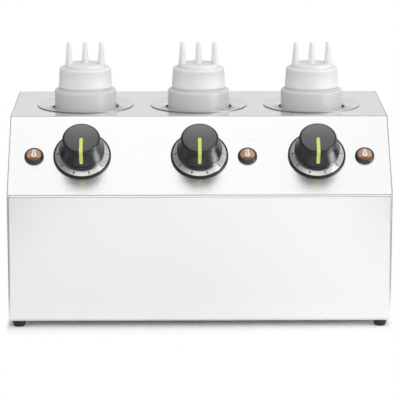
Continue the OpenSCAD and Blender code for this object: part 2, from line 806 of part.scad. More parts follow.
// Pilot lamp pushed through the fascia: bezel, body and two terminals
module lamp(i) {
    color([0.2, 0.2, 0.2])
        on_fascia(station_x[i] + lamp_side[i] * lamp_dx, lamp_up) {
            turned(concat([[0, 0], [bezel_d / 2, 0], [bezel_d / 2, 0.8]],
                          arc([bezel_d / 2 - 1.6, 1], 1.6, 0, 90, 5),
                          [[lens_d / 2, bezel_h], [lens_d / 2, bezel_h - lens_sink],
                           [0, bezel_h - lens_sink]]));
            translate([0, 0, -lamp_depth])
                cylinder(r = lamp_hole_d / 2 - hole_gap, h = lamp_depth + 0.5);
            for (side = [-1, 1]) translate([0, 0, -lamp_depth]) terminal(side * 3.5);
        }
}

// Domed amber lens let into the bezel
module lamp_lens(i) {
    r = lens_d / 2;
    dome_r = (r * r + lens_rise * lens_rise) / (2 * lens_rise);
    edge_a = acos((dome_r - lens_rise) / dome_r);
    color([0.55, 0.27, 0.13]) on_fascia(station_x[i] + lamp_side[i] * lamp_dx, lamp_up)
        translate([0, 0, bezel_h - lens_sink]) turned(concat(
            [[0, 0], [r, 0]],
            arc([0, lens_sink + lens_rise - dome_r], dome_r, 90 - edge_a, 90, 8)));
}

// Push-on clips that hold the lamps from behind
module lamp_clips() {
    color("silver") for (i = [0 : 2])
        on_fascia(station_x[i] + lamp_side[i] * lamp_dx, lamp_up)
            translate([0, 0, -sheet_t - 1]) difference() {
                cylinder(r = lamp_hole_d / 2 + lamp_clip_w, h = 1);
                translate([0, 0, -1]) cylinder(r = lamp_hole_d / 2 - hole_gap, h = 3);
            }
}

// Squeeze bottle with an open wide neck and a pushed-up foot
module bottle(i) {
    r = bottle_r;
    t = bottle_t;
    bore_r = neck_r - 1.8;
    push = 2;
    color(milky) at_stations([i]) translate([0, 0, floor_z]) turned(concat(
        [[0, push], [r - foot_edge_r - 6, push], [r - foot_edge_r - 3, 0]],
        arc([r - foot_edge_r, foot_edge_r], foot_edge_r, -90, 0),
        arc([r - shoulder_r, shoulder_h - 1 - shoulder_r], shoulder_r, 0, 80),
        [[neck_r, shoulder_h], [neck_r, neck_top - 0.4], [neck_r - 0.4, neck_top],
         [bore_r, neck_top], [bore_r, shoulder_h - 2.4]],
        arc([r - shoulder_r, shoulder_h - 1 - shoulder_r], shoulder_r - t, 80, 0),
        arc([r - foot_edge_r, foot_edge_r], foot_edge_r - t, 0, -90),
        [[r - foot_edge_r - 3, t], [r - foot_edge_r - 6, push + t], [0, push + t]]));
}

// Star outline of the grip ribs around a cap's lower edge
module rib_ring() {
    r = cap_d / 2;
    polygon([for (k = [0 : 2 * cap_ribs - 1]) let (a = 180 * k / cap_ribs)
        (k % 2 == 0 ? r : r - rib_out) * [cos(a), sin(a)]]);
}

// Rounded top and boss of a cap, down to a core inside the ribs
function cap_outline() =
    let (top_r = cap_top_r - rib_out - 0.1)
    concat([[0, 2], [top_r, 2]],
           arc([top_r - cap_edge_r, cap_h - cap_edge_r], cap_edge_r, 0, 90),
           [[boss_d / 2, cap_h]], arc([boss_d / 2 - 1, cap_h + boss_h - 1], 1, 0, 90, 4),
           [[0, cap_h + boss_h]]);

// Screw cap with its raised boss and three open nozzles in a row
module cap(i) {
    top_in = cap_h - cap_top_t;
    color(milky) at_stations([i]) translate([0, 0, floor_z + cap_z]) difference() {
        union() {
            linear_extrude(cap_h - cap_edge_r, scale = 2 * cap_top_r / cap_d) rib_ring();
            turned(cap_outline());
            for (k = [-1 : 1]) translate([k * nozzle_pitch, 0, cap_h + boss_h - 1.2])
                cylinder(r1 = nozzle_d / 2, r2 = tip_d / 2, h = nozzle_h + 1.2);
        }
        translate([0, 0, -1]) cylinder(r = cap_in_r, h = top_in + 1);
        translate([0, 0, top_in - 1]) cylinder(r = boss_in_r, h = boss_h + 1);
        for (k = [-1 : 1]) translate([k * nozzle_pitch, 0, top_in + boss_h - 0.5])
            cylinder(r1 = nozzle_d / 2 - 1, r2 = tip_bore / 2, h = cap_top_t + nozzle_h + 1);
    }
}

// Sealing ring between a cap and the rim of its bottle
module cap_seal(i) {
    color([0.95, 0.95, 0.95]) at_stations([i]) translate([0, 0, floor_z + neck_top]) difference() {
        cylinder(r = neck_r, h = seal_t);
        translate([0, 0, -1]) cylinder(r = neck_r - 3, h = seal_t + 2);
    }
}

// Gland for the supply cord: hexagon, domed nut and a thread through the rear panel
module cable_gland() {
    r = gland_d / 2;
    color(black) translate([gland_x, front_y + case_d, gland_z]) rotate([-90, 0, 0]) difference() {
        union() {
            translate([0, 0, -gland_inside]) cylinder(r = r, h = gland_inside + 1);
            cylinder(r = r * 1.4, h = gland_hex_h, $fn = 6);
            turned(concat([[0, gland_hex_h - 1], [r * 1.18, gland_hex_h - 1],
                           [r * 1.18, gland_out * 0.62]],
                          arc([r * 1.18 - 4, gland_out - 4], 4, 0, 90), [[0, gland_out]]));
        }
        translate([0, 0, -gland_inside - 1])
            cylinder(d = gland_bore, h = gland_inside + gland_out + 2);
    }
}

// Nut that holds the gland from inside the casing
module gland_nut() {
    r = gland_d / 2;
    color(black) translate([gland_x, front_y + case_d - sheet_t, gland_z]) rotate([90, 0, 0])
        difference() {
            cylinder(r = r * 1.4, h = gland_hex_h, $fn = 6);
            translate([0, 0, -1]) cylinder(r = r + run_gap, h = gland_hex_h + 2);
        }
}

// Row of supply terminals on the floor of the casing, beside the gland
module terminal_block() {
    len = block_poles * block_pitch;
    color("white") translate([gland_x - len, front_y + case_d - block_back, shell_z])
        difference() {
            union() {
                cube([len, block_d, block_foot_h]);
                for (k = [0 : block_poles - 1]) translate([k * block_pitch + 0.6, 1, 0])
                    cube([block_pitch - 1.2, block_d - 2, block_h]);
            }
            for (k = [0 : block_poles - 1]) translate([(k + 0.5) * block_pitch, 0, 0]) {
                for (y = [0.275, 0.725]) translate([0, y * block_d, block_h - 6])
                    cylinder(r = 2.2, h = block_h);
                translate([0, -1, block_foot_h + 3]) rotate([-90, 0, 0])
                    cylinder(r = 2, h = block_d + 2);
            }
        }
}

body_shell();
top_fascia();
rear_panel();
base_plate();
feet();
foot_screws();
base_screws();
rear_screws();
well(0);  // well_1
well(1);  // well_2
well(2);  // well_3
well_retainers();
heater_band(0);  // heater_band_1
heater_band(1);  // heater_band_2
heater_band(2);  // heater_band_3
band_screws();
thermal_cutouts();
thermostat(0);  // thermostat_1
thermostat(1);  // thermostat_2
thermostat(2);  // thermostat_3
thermostat_screws();
capillary(0);  // capillary_1
capillary(1);  // capillary_2
capillary(2);  // capillary_3
bulb_clips();
dial_base(0);  // dial_base_1
dial_base(1);  // dial_base_2
dial_base(2);  // dial_base_3
dial_ring(0);  // dial_ring_1
dial_ring(1);  // dial_ring_2
dial_ring(2);  // dial_ring_3
shaft(0);  // shaft_1
shaft(1);  // shaft_2
shaft(2);  // shaft_3
knob(0);  // knob_1
knob(1);  // knob_2
knob(2);  // knob_3
knob_pointer(0);  // knob_pointer_1
knob_pointer(1);  // knob_pointer_2
knob_pointer(2);  // knob_pointer_3
lamp(0);  // lamp_1
lamp(1);  // lamp_2
lamp(2);  // lamp_3
lamp_lens(0);  // lamp_lens_1
lamp_lens(1);  // lamp_lens_2
lamp_lens(2);  // lamp_lens_3
lamp_clips();
bottle(0);  // bottle_1
bottle(1);  // bottle_2
bottle(2);  // bottle_3
cap(0);  // cap_1
cap(1);  // cap_2
cap(2);  // cap_3
cap_seal(0);  // cap_seal_1
cap_seal(1);  // cap_seal_2
cap_seal(2);  // cap_seal_3
cable_gland();
gland_nut();
terminal_block();
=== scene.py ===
"""Bottle topping warmer: three heated wells in a stainless casing, each with a squeeze bottle."""
import bpy
from math import asin, atan2, cos, degrees, hypot, pi, radians, sin, sqrt, tan
from mathutils import Matrix, Vector


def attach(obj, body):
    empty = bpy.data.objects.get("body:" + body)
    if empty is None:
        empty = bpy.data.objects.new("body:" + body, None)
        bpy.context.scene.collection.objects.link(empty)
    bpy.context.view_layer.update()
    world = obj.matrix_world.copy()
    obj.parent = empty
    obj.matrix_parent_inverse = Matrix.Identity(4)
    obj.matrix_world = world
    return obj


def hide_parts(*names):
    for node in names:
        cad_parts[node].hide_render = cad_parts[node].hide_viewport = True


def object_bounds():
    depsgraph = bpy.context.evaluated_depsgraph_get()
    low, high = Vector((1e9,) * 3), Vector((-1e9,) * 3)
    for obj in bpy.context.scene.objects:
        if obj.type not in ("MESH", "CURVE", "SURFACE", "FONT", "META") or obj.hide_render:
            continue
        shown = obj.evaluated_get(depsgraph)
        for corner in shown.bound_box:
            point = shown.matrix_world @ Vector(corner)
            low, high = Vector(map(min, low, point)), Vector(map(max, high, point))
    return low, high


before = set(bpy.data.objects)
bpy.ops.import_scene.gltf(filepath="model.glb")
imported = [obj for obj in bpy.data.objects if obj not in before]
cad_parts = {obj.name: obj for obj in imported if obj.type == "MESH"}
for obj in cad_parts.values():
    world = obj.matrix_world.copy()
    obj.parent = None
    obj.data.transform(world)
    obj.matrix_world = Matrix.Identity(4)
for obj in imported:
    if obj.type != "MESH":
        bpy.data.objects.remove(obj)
cad_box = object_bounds()
MM = 0.001

# Photographer's stand.
# The camera stands well back with a long lens, a little above the casing and level from
# side to side, as the photograph was taken.
EYE, LENS, LOOK_DOWN, LOOK_ASIDE = (-25.6, -2653.8, 699.5), 213.59, 12.4387, -0.5857
camera = bpy.data.objects.new("camera", bpy.data.cameras.new("camera"))
camera.data.lens = LENS
camera.location = Vector(EYE) * MM
camera.rotation_euler = (radians(90 - LOOK_DOWN), 0, radians(LOOK_ASIDE))
bpy.context.scene.collection.objects.link(camera)
bpy.context.scene.camera = camera
bpy.context.scene.view_settings.view_transform = "Standard"

# Room.
# A pale cyclorama, white to the camera. The light and the steel see it graded: dark low
# behind the camera, and with two bright ceiling panels that run from side to side.
ROOM_LEVEL = 1.6


class Wire:
    """A node's output. Sums and products of wires and numbers become Math nodes."""

    def __init__(self, bench, socket):
        self.bench = bench
        self.socket = socket

    def math(self, operation, *values):
        return self.bench.node("Math", dict(operation=operation), dict(enumerate(values)))

    def __add__(self, other):
        return self.math("ADD", self, other)

    def __sub__(self, other):
        return self.math("SUBTRACT", self, other)

    def __rsub__(self, other):
        return self.math("SUBTRACT", other, self)

    def __mul__(self, other):
        return self.math("MULTIPLY", self, other)

    def __or__(self, other):
        """The larger of two."""
        return self.math("MAXIMUM", self, other)

    def __gt__(self, other):
        return self.math("GREATER_THAN", self, other)

    def __abs__(self):
        return self.math("ABSOLUTE", self)

    __radd__ = __add__
    __rmul__ = __mul__


class Bench:
    """A node tree being filled, with the few nodes that most finishes share."""

    def __init__(self, tree):
        self.tree = tree

    def set(self, node, sockets):
        for key, value in sockets.items():
            if isinstance(value, Wire):
                self.tree.links.new(value.socket, node.inputs[key])
            elif isinstance(value, tuple) and node.inputs[key].type == "RGBA":
                node.inputs[key].default_value = (*value, 1)
            else:
                node.inputs[key].default_value = value

    def node(self, kind, settings=None, sockets=None, out=0):
        node = self.tree.nodes.new("ShaderNode" + kind)
        for key, value in (settings or {}).items():
            if key == "stops":
                stops = node.color_ramp.elements
                while len(stops) < len(value):
                    stops.new(1)
                for stop, (place, colour) in zip(stops, value):
                    stop.position = place
                    stop.color = (*(colour if isinstance(colour, tuple) else (colour,) * 3), 1)
            else:
                setattr(node, key, value)
        self.set(node, sockets or {})
        return Wire(self, node.outputs[out]) if node.outputs else None

    def noise(self, where, detail=2.0, rough=0.5):
        return self.node("TexNoise", {}, {"Vector": where, "Scale": 1.0, "Detail": detail,
                                          "Roughness": rough})

    def ramp(self, share, *stops):
        return self.node("ValToRGB", dict(stops=stops), {"Fac": share})

    def blend(self, share, low, high, way="MIX"):
        """A colour between two others, or another mix of them."""
        return self.node("Mix", dict(data_type="RGBA", blend_type=way),
                         {0: share, 6: low, 7: high}, 2)

    def parts(self, vector):
        """The three numbers of a vector."""
        split = self.node("SeparateXYZ", {}, {"Vector": vector}).socket.node
        return [Wire(self, socket) for socket in split.outputs]

    def rays(self, first, second):
        """1 for rays of either kind, 0 for others."""
        kinds = [self.node("LightPath", out=f"Is {kind} Ray") for kind in (first, second)]
        return kinds[0] | kinds[1]


room = bpy.data.worlds.new("room")
bpy.context.scene.world = room
room.use_nodes = True
air = Bench(room.node_tree)
air.tree.nodes.clear()
aim_x, aim_y, aim_z = air.parts(air.node("TexCoord", out="Generated"))
sideways, backwards = aim_x * 0.5 + 0.5, aim_y * 0.5 + 0.5
horizon = air.ramp(backwards, (0.0, 0.18), (0.1, 0.25), (0.32, 0.65), (0.62, 0.65), (0.85, 0.5),
                   (1.0, 0.5))
low = air.ramp(aim_z, (0.03, 0.2), (0.12, 1.0))
sides = air.ramp(sideways, (0.05, 0.3), (0.25, 0.47), (0.4, 0.5), (0.6, 0.5), (0.75, 0.65),
                 (0.88, 0.8))
across = air.ramp(sideways, (0.0, 0.15), (0.3, 0.15), (0.44, 0.93), (0.487, 1.0), (0.51, 0.95),
                  (0.545, 0.9), (0.68, 0.55), (1.0, 0.6))
panels = air.ramp(backwards, (0.08, 0.4), (0.13, 1.0), (0.29, 1.0), (0.37, 0.6), (0.44, 0.69),
                  (0.51, 0.82), (0.62, 0.8), (0.75, 0.28), (0.9, 0.28))
lifted = air.ramp(aim_z, (0.35, 0.0), (0.65, 1.0))
sky = air.blend(lifted, air.blend(1.0, horizon, low * sides * 2, "MULTIPLY"),
                air.blend(1.0, across, panels, "MULTIPLY"))
clear = air.rays("Camera", "Transmission")
air.node("OutputWorld", {}, {"Surface": air.node("Background", {}, {
    "Color": air.blend(clear, sky, (1, 1, 1)),
    "Strength": clear * (1 - ROOM_LEVEL) + ROOM_LEVEL})})

# Paper sweep.
# White paper on the table keeps the casing's shadow, and is white to the camera further
# off. Round the casing it has a faint painted glow, stronger on the right. To the steel
# it is painted dark on the left and right, a painted reflection of a dark room.
PAPER_REACH = 9
SIDE_RISE, SOFT_BAND, PAINTED_DARK_LEVEL = 8, 0.033, 0.1


class Finish(Bench):
    """A material. Its shader's sockets are named with underscores."""

    def __init__(self, name, **shader):
        self.material = bpy.data.materials.new(name)
        self.material.use_nodes = True
        super().__init__(self.material.node_tree)
        self.shader = self.tree.nodes["Principled BSDF"]
        self.wear(**shader)

    def wear(self, **sockets):
        self.set(self.shader, {key.replace("_", " "): value for key, value in sockets.items()})

    def place(self, scale=(1, 1, 1)):
        """The piece's own coordinates in metres, scaled."""
        return self.node("Mapping", {}, {"Vector": self.node("TexCoord", out="Object"),
                                         "Scale": scale})

    def grain(self, *fineness, detail=2.0, rough=0.5):
        """Noise fixed to the piece. It changes as fast as fineness says, which is one number
        or one for each axis."""
        scale = fineness * 3 if len(fineness) == 1 else fineness
        return self.noise(self.place(scale), detail, rough)

    def bump(self, height, depth, strength):
        return self.node("Bump", {}, {"Height": height, "Distance": depth, "Strength": strength})


paper = bpy.data.meshes.new("paper")
paper.from_pydata([(x * PAPER_REACH, y * PAPER_REACH, 0)
                   for x, y in ((-1, -1), (1, -1), (1, 1), (-1, 1))], [], [(0, 1, 2, 3)])
paper = bpy.data.objects.new("paper", paper)
bpy.context.scene.collection.objects.link(paper)
white = Finish("paper white", Roughness=0.9, Specular_IOR_Level=0.0)
white.wear(Base_Color=white.ramp(white.grain(40, detail=3.0), (0.3, 0.92), (0.7, 0.94)))
seen = white.rays("Camera", "Transmission")
mirrored = white.node("LightPath", out="Is Glossy Ray")
paper_x, paper_y, _ = white.parts(white.place())
half_w, half_d, _ = cad_box[1]
# Metres outside the footprint, counted faster at the sides, where little shadow falls.
beyond = (abs(paper_x) - half_w) * SIDE_RISE | (abs(paper_y) - half_d)
# Painted light: the paper glows faintly, not at all under the casing, more further out and more
# on the right.
painted_floor_light = (white.ramp(beyond + 0.03, (0.0, 0.0), (0.03, 0.09), (0.07, 0.11))
        * (white.ramp(paper_x + 0.5, (0.5, 0.0), (0.68, 0.7)) + 1))
sheet = white.node("AddShader", {}, {
    0: Wire(white, white.shader.outputs[0]),
    1: white.node("Emission", {}, {"Color": (seen | mirrored) * painted_floor_light})})
far = seen * white.ramp(beyond, (0.0, 0.0), (SOFT_BAND, 1.0))
sheet = white.node("MixShader", {}, {0: far, 1: sheet, 2: white.node("Emission")})
# Painted reflection: mirrored rays see the paper dark toward the far left and right.
painted_dark_sides = mirrored * white.ramp(paper_x + 0.5, (0.17, 0.65), (0.25, 0.0), (0.77, 0.0), (0.86, 0.65))
dark = white.node("Emission", {}, {"Strength": PAINTED_DARK_LEVEL})
white.set(white.tree.nodes["Material Output"],
          {"Surface": white.node("MixShader", {}, {0: painted_dark_sides, 1: sheet, 2: dark})})
paper.data.materials.append(white.material)

# Lamps of the studio.
# Two softboxes in front light the matt pieces from the upper right and the left. A narrow
# one on the right is only mirrored.
LAMP_AIM = Vector((0, 0, 0.15))


def softbox(name, place, width, length, watts, mirrored):
    """A flat lamp. Either it lights the pieces softly and is masked off from anything shiny,
    or it is only mirrored."""
    lamp = bpy.data.lights.new(name, "AREA")
    lamp.shape = "RECTANGLE"
    lamp.size, lamp.size_y = width, length
    lamp.energy = watts
    lamp = bpy.data.objects.new(name, lamp)
    bpy.context.scene.collection.objects.link(lamp)
    lamp.location = place
    lamp.visible_glossy = mirrored
    lamp.visible_diffuse = not mirrored
    lamp.rotation_euler = (LAMP_AIM - Vector(place)).to_track_quat("-Z", "Y").to_euler()


softbox("key box", (0.9, -1.8, 1.4), 1.4, 1.2, 14, mirrored=False)
softbox("fill box", (-1.7, -1.0, 0.8), 1.2, 1.2, 5, mirrored=False)
softbox("right box", (1.6, -0.95, 0.4), 0.5, 1.0, 16, mirrored=True)

# Casing.
# Folded 1 mm stainless sheet with a fine horizontal grain: one sheet for the front and the
# sides, one for the top and the sloped fascia, a slotted rear panel and a floor.
CASE_W, FRONT_Y, SEAM_Z, TOP_Z, SLOPE_RUN = 420, -134.5, 149, 221.5, 82
SLOPE = atan2(TOP_Z - SEAM_Z, SLOPE_RUN)
ALONG, ACROSS, SKIN = 6, 6000, 1.2
CUT_AND_SHADE_TONE, WIPED = 0.42, 0.13


def brushed(name, fineness, tone, rough, relief=0.00004):
    """Brushed steel. Above the seam the side sheets' edges are darker, partly for their own cut
    finish and partly as painted shade of the gap beside them, and wiping
    has made the top plate smoother."""
    steel = Finish(name, Metallic=1.0)
    fine = steel.grain(*fineness, detail=3.0, rough=0.65)
    cloud = steel.grain(9)
    sheet = steel.ramp(fine * 0.75 + cloud * 0.25, (0.3, (tone - 0.02,) * 3),
                       (0.7, (tone + 0.02, tone + 0.022, tone + 0.026)))
    across, _, up = steel.parts(steel.place())
    facing_aside = abs(steel.parts(steel.node("TexCoord", out="Normal"))[0])
    at_side = abs(across) > (CASE_W / 2 - SKIN) * MM
    # Painted shade, partly: edges facing front and up are coloured darker for their cut finish
    # and for the shade in the gap beside them.
    cut = at_side * (up > SEAM_Z * MM) * (0.5 - facing_aside > 0)
    on_top = up > (TOP_Z - SKIN) * MM
    steel.wear(Base_Color=steel.blend(cut, sheet, (CUT_AND_SHADE_TONE,) * 3),
               Roughness=fine * 0.1 + cloud * 0.03 + rough - 0.065 - on_top * WIPED,
               Normal=steel.bump(fine, relief, 0.8))
    return steel.material


def dress(node, material, limit=28):
    """Gives a CAD node its finish, and soft shading across its folds."""
    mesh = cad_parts[node].data
    mesh.materials.clear()
    mesh.materials.append(material)
    mesh.shade_smooth()
    mesh.set_sharp_from_angle(angle=radians(limit))


dress("body_shell", brushed("shell steel", (ALONG, ALONG, ACROSS), 0.94, 0.2))
dress("top_fascia", brushed("cover steel", (ALONG, ACROSS, ACROSS), 0.95, 0.26, 0.00006))
dress("rear_panel", brushed("rear steel", (ALONG, ALONG, ACROSS), 0.9, 0.22))
dress("base_plate", brushed("floor steel", (ALONG, ACROSS, ACROSS), 0.8, 0.35))

# Feet.
# Moulded rubber feet under the four corners, each with a counterbore for the screw that
# holds it to the bottom return.
FOOT_X, FOOT_Y, FOOT_H, FOOT_TOP_R, FOOT_LOW_R = (-199, 199), (-123.5, 97.5), 7.6, 7.75, 6
FOOT_HOLE_R, COUNTERBORE_R, COUNTERBORE_H, OFF_TABLE = 2.2, 4.1, 5.2, 0.02


def link(name, mesh, materials):
    for material in materials:
        mesh.materials.append(material)
    piece = bpy.data.objects.new(name, mesh)
    bpy.context.scene.collection.objects.link(piece)
    return piece


def smooth(piece, limit=30):
    piece.data.shade_smooth()
    piece.data.set_sharp_from_angle(angle=radians(limit))
    return piece


def rounded(corners, steps=4):
    """Profile from (radius, height) corners, where a third number rounds the corner."""
    line = []
    for k, corner in enumerate(corners):
        here = Vector(corner[:2])
        if len(corner) < 3:
            line.append(here)
            continue
        start = here + (Vector(corners[k - 1][:2]) - here).normalized() * corner[2]
        after = Vector(corners[(k + 1) % len(corners)][:2])
        end = here + (after - here).normalized() * corner[2]
        for s in range(steps + 1):
            q = s / steps
            line.append(start * (1 - q) ** 2 + here * 2 * q * (1 - q) + end * q * q)
    return line


def turned(name, line, materials, closed=False, steps=120, marks=lambda r, z: 0):
    """Piece turned about its own upright axis from (radius, height) points in millimetres.
    marks gives the material's number at a radius and height."""
    points, rings = [], []
    for r, z in line:
        if r < 1e-6:
            rings.append([len(points)] * steps)
            points.append((0, 0, z))
        else:
            rings.append(list(range(len(points), len(points) + steps)))
            points += [(r * cos(2 * pi * k / steps), r * sin(2 * pi * k / steps), z)
                       for k in range(steps)]
    faces, finish = [], []
    for n, (low, high) in enumerate(zip(rings, rings[1:] + rings[:1] * closed)):
        middle = (Vector(line[n]) + Vector(line[(n + 1) % len(line)])) / 2
        for k in range(steps):
            j = (k + 1) % steps
            face = list(dict.fromkeys((low[k], low[j], high[j], high[k])))
            if len(face) > 2:
                faces.append(face)
                finish.append(marks(*middle))
    mesh = bpy.data.meshes.new(name)
    mesh.from_pydata([Vector(p) * MM for p in points], [], faces)
    piece = link(name, mesh, materials)
    mesh.polygons.foreach_set("material_index", finish)
    return smooth(piece)


def ride(piece, body, slot, *stands_for):
    """Fixes a piece to a body and hides the nodes it replaces. slot is not used."""
    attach(piece, body)
    if stands_for:
        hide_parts(*stands_for)


rubber = Finish("foot rubber")
grit = rubber.grain(900, detail=3.0)
rubber.wear(Base_Color=rubber.ramp(grit, (0.3, 0.012), (0.7, 0.02)),
            Roughness=grit * 0.2 + 0.55, Normal=rubber.bump(grit, 0.0001, 0.5))
foot_line = rounded([
    (FOOT_HOLE_R, FOOT_H), (FOOT_TOP_R, FOOT_H), (FOOT_TOP_R, FOOT_H - 1.2, 0.4),
    (FOOT_LOW_R, 0.5, 0.4), (FOOT_LOW_R - 0.5, OFF_TABLE), (COUNTERBORE_R, OFF_TABLE, 0.2),
    (COUNTERBORE_R, COUNTERBORE_H), (FOOT_HOLE_R, COUNTERBORE_H)])
for n, (x, y) in enumerate([(x, y) for x in FOOT_X for y in FOOT_Y]):
    foot = turned(f"foot_{n + 1}", foot_line, [rubber.material], closed=True, steps=64)
    foot.location = Vector((x, y, 0)) * MM
    # The first stands for the node, which holds all four.
    ride(foot, "casing", "foot_rubber", *(["feet"] if n == 0 else []))

# Screws.
# Zinc-plated pan-head screws hold the rear panel, the floor, the feet, the heater bands and
# the thermostats.
zinc = Finish("plated screw", Metallic=1.0)
tarnish = zinc.grain(400, detail=3.0)
zinc.wear(Base_Color=zinc.ramp(tarnish, (0.3, (0.60, 0.60, 0.58)), (0.7, (0.74, 0.74, 0.72))),
          Roughness=tarnish * 0.2 + 0.2)
for node in ("foot_screws", "base_screws", "rear_screws", "band_screws", "thermostat_screws"):
    dress(node, zinc.material)

# Wells.
# Deep-drawn stainless wells, polished. Each hangs in the top plate by a nearly flat flange
# with a trimmed rim, and is held from below by a ring.
PITCH, WELL_Y = 128.99, FRONT_Y + SLOPE_RUN + 72.5
RIM_R, RIM_ROUND, DISH_R, WELL_R, WELL_T, FLOOR_Z = 55, 0.3, 51, 37.5, 1, 53
DISH, LIP, MOUTH, FLOOR_R = radians(5), 8, 3, 7
polished = Finish("drawn steel", Metallic=1.0)
fine, cloud = polished.grain(60, 60, 1500, detail=3.0), polished.grain(25)
polished.wear(Base_Color=polished.ramp(cloud, (0.3, 0.76), (0.7, 0.82)),
              Roughness=fine * 0.06 + cloud * 0.05 + 0.06,
              Normal=polished.bump(fine, 0.00002, 0.3))
# The rim's outer edge is duller and darker, partly for its trimmed finish and partly as painted
# shade of the contact shadow where the flange meets the top plate.
cut_edge_and_shade = Finish("cut edge", Metallic=1.0, Roughness=0.5)
cut_edge_and_shade.wear(Base_Color=cut_edge_and_shade.ramp(cut_edge_and_shade.grain(900), (0.3, 0.30), (0.7, 0.36)))


def curve(centre, r, start, end, steps=6):
    """Points of an arc in a profile, between two angles in degrees."""
    turns = [radians(start + (end - start) * k / steps) for k in range(steps + 1)]
    return [Vector((centre[0] + r * cos(t), centre[1] + r * sin(t))) for t in turns]


def well_face(out):
    """Inside face of a well from its flange to the middle of its floor, moved out by out."""
    lip_x, lip_z = DISH_R - LIP * sin(DISH), WELL_T - LIP + LIP * cos(DISH)
    run = lip_x - (WELL_R + MOUTH - MOUTH * sin(DISH))
    mouth_z = lip_z - run * tan(DISH) - MOUTH * cos(DISH)
    floor_z = FLOOR_Z - TOP_Z
    return (curve((DISH_R, WELL_T - LIP), LIP + out, 90, 90 + degrees(DISH))
            + curve((WELL_R + MOUTH, mouth_z), MOUTH + out, 90 + degrees(DISH), 180, 12)
            + curve((WELL_R - FLOOR_R, floor_z + FLOOR_R), FLOOR_R - out, 0, -90, 10)
            + [Vector((0, floor_z + out))])


# Under the flange, round the rim, down the inside and back up the outside.
flat_rim = rounded([(DISH_R, 0), (RIM_R, 0), (RIM_R, WELL_T, RIM_ROUND), (DISH_R, WELL_T)])
well_line = flat_rim[1:-1] + well_face(0) + well_face(-WELL_T)[::-1]
for n in (1, 2, 3):
    well = turned(f"drawn_well_{n}", well_line, [polished.material, cut_edge_and_shade.material],
                  closed=True, steps=180, marks=lambda r, z: int(r > RIM_R - 0.2))
    well.location = Vector(((n - 2) * PITCH, WELL_Y, TOP_Z)) * MM
    ride(well, "casing", "well_steel", f"well_{n}")

# Heating, inside the casing.
# Silicone heater bands round the wells, cut-outs under them, and capillary thermostats
# behind the fascia. All of it shows only through the air slots.
band = Finish("heater band", Roughness=0.6)
weave = band.grain(500, 500, 900)
band.wear(Base_Color=band.ramp(weave, (0.3, (0.42, 0.17, 0.07)), (0.7, (0.52, 0.23, 0.1))),
          Normal=band.bump(weave, 0.0002, 0.4))
copper = Finish("capillary copper", Metallic=1.0)
tarnish = copper.grain(300, detail=3.0)
copper.wear(Base_Color=copper.ramp(tarnish, (0.3, (0.45, 0.22, 0.12)), (0.7, (0.7, 0.38, 0.22))),
            Roughness=tarnish * 0.2 + 0.2)
bakelite = Finish("black moulding")
grit = bakelite.grain(700)
bakelite.wear(Base_Color=bakelite.ramp(grit, (0.3, 0.014), (0.7, 0.022)),
              Roughness=grit * 0.2 + 0.35)
spring = brushed("spring steel", (200, 200, 200), 0.6, 0.35)
for n in (1, 2, 3):
    dress(f"heater_band_{n}", band.material)
    dress(f"capillary_{n}", copper.material)
    dress(f"thermostat_{n}", spring)
    dress(f"shaft_{n}", spring)
for node in ("well_retainers", "bulb_clips", "lamp_clips"):
    dress(node, spring)
dress("thermal_cutouts", bakelite.material)

# Dials.
# A black plastic base is screwed to the fascia behind each knob, and carries a spun silver
# ring printed with the numbers 0 to 8.
KNOB_UP = 54
BASE_R, BASE_H, SHAFT_HOLE_R = 31.7, 2.4, 4.8
RING_R, RING_IN_R, RING_LOW, RING_EDGE, RING_TOP = 29.7, 22.8, 1.9, 2.5, 4.7
RING_FALL = atan2(RING_TOP - RING_EDGE, RING_R - RING_IN_R)
NUMBER_R, NUMBER_SIZE, NUMBER_STEP, FIRST_NUMBER = 26.6, 4.8, 36, -126
NUMBER_Z = RING_TOP - (NUMBER_R - RING_IN_R) * tan(RING_FALL)
INK_T, INK_SPREAD = 0.03, 0.12


def on_fascia(piece, x, up=KNOB_UP):
    """Stands a piece on the fascia: its y runs up the slope and its z out of it."""
    seam = Matrix.Translation(Vector((0, FRONT_Y, SEAM_Z)) * MM) @ Matrix.Rotation(SLOPE, 4, "X")
    piece.matrix_world = seam @ Matrix.Translation(Vector((x, up, 0)) * MM)


def moulded(name, low, high, rough, relief=0.00004, **shader):
    """Moulded plastic with a faint spark-eroded grain."""
    plastic = Finish(name, **shader)
    spark, cloud = plastic.grain(1600), plastic.grain(60)
    plastic.wear(Base_Color=plastic.ramp(cloud, (0.3, low), (0.7, high)),
                 Roughness=cloud * 0.06 + rough - 0.03,
                 Normal=plastic.bump(spark, relief, 0.5))
    return plastic.material


def printed(number):
    """A number in a thin layer of ink."""
    text = bpy.data.curves.new("number", "FONT")
    text.body = str(number)
    text.size, text.extrude, text.offset = NUMBER_SIZE * MM, INK_T * MM, INK_SPREAD * MM
    text.align_x, text.align_y = "CENTER", "CENTER"
    stencil = bpy.data.objects.new("number", text)
    bpy.context.scene.collection.objects.link(stencil)
    stencil_now = stencil.evaluated_get(bpy.context.evaluated_depsgraph_get())
    mesh = bpy.data.meshes.new_from_object(stencil_now)
    bpy.data.objects.remove(stencil)
    mesh.materials.clear()
    return mesh


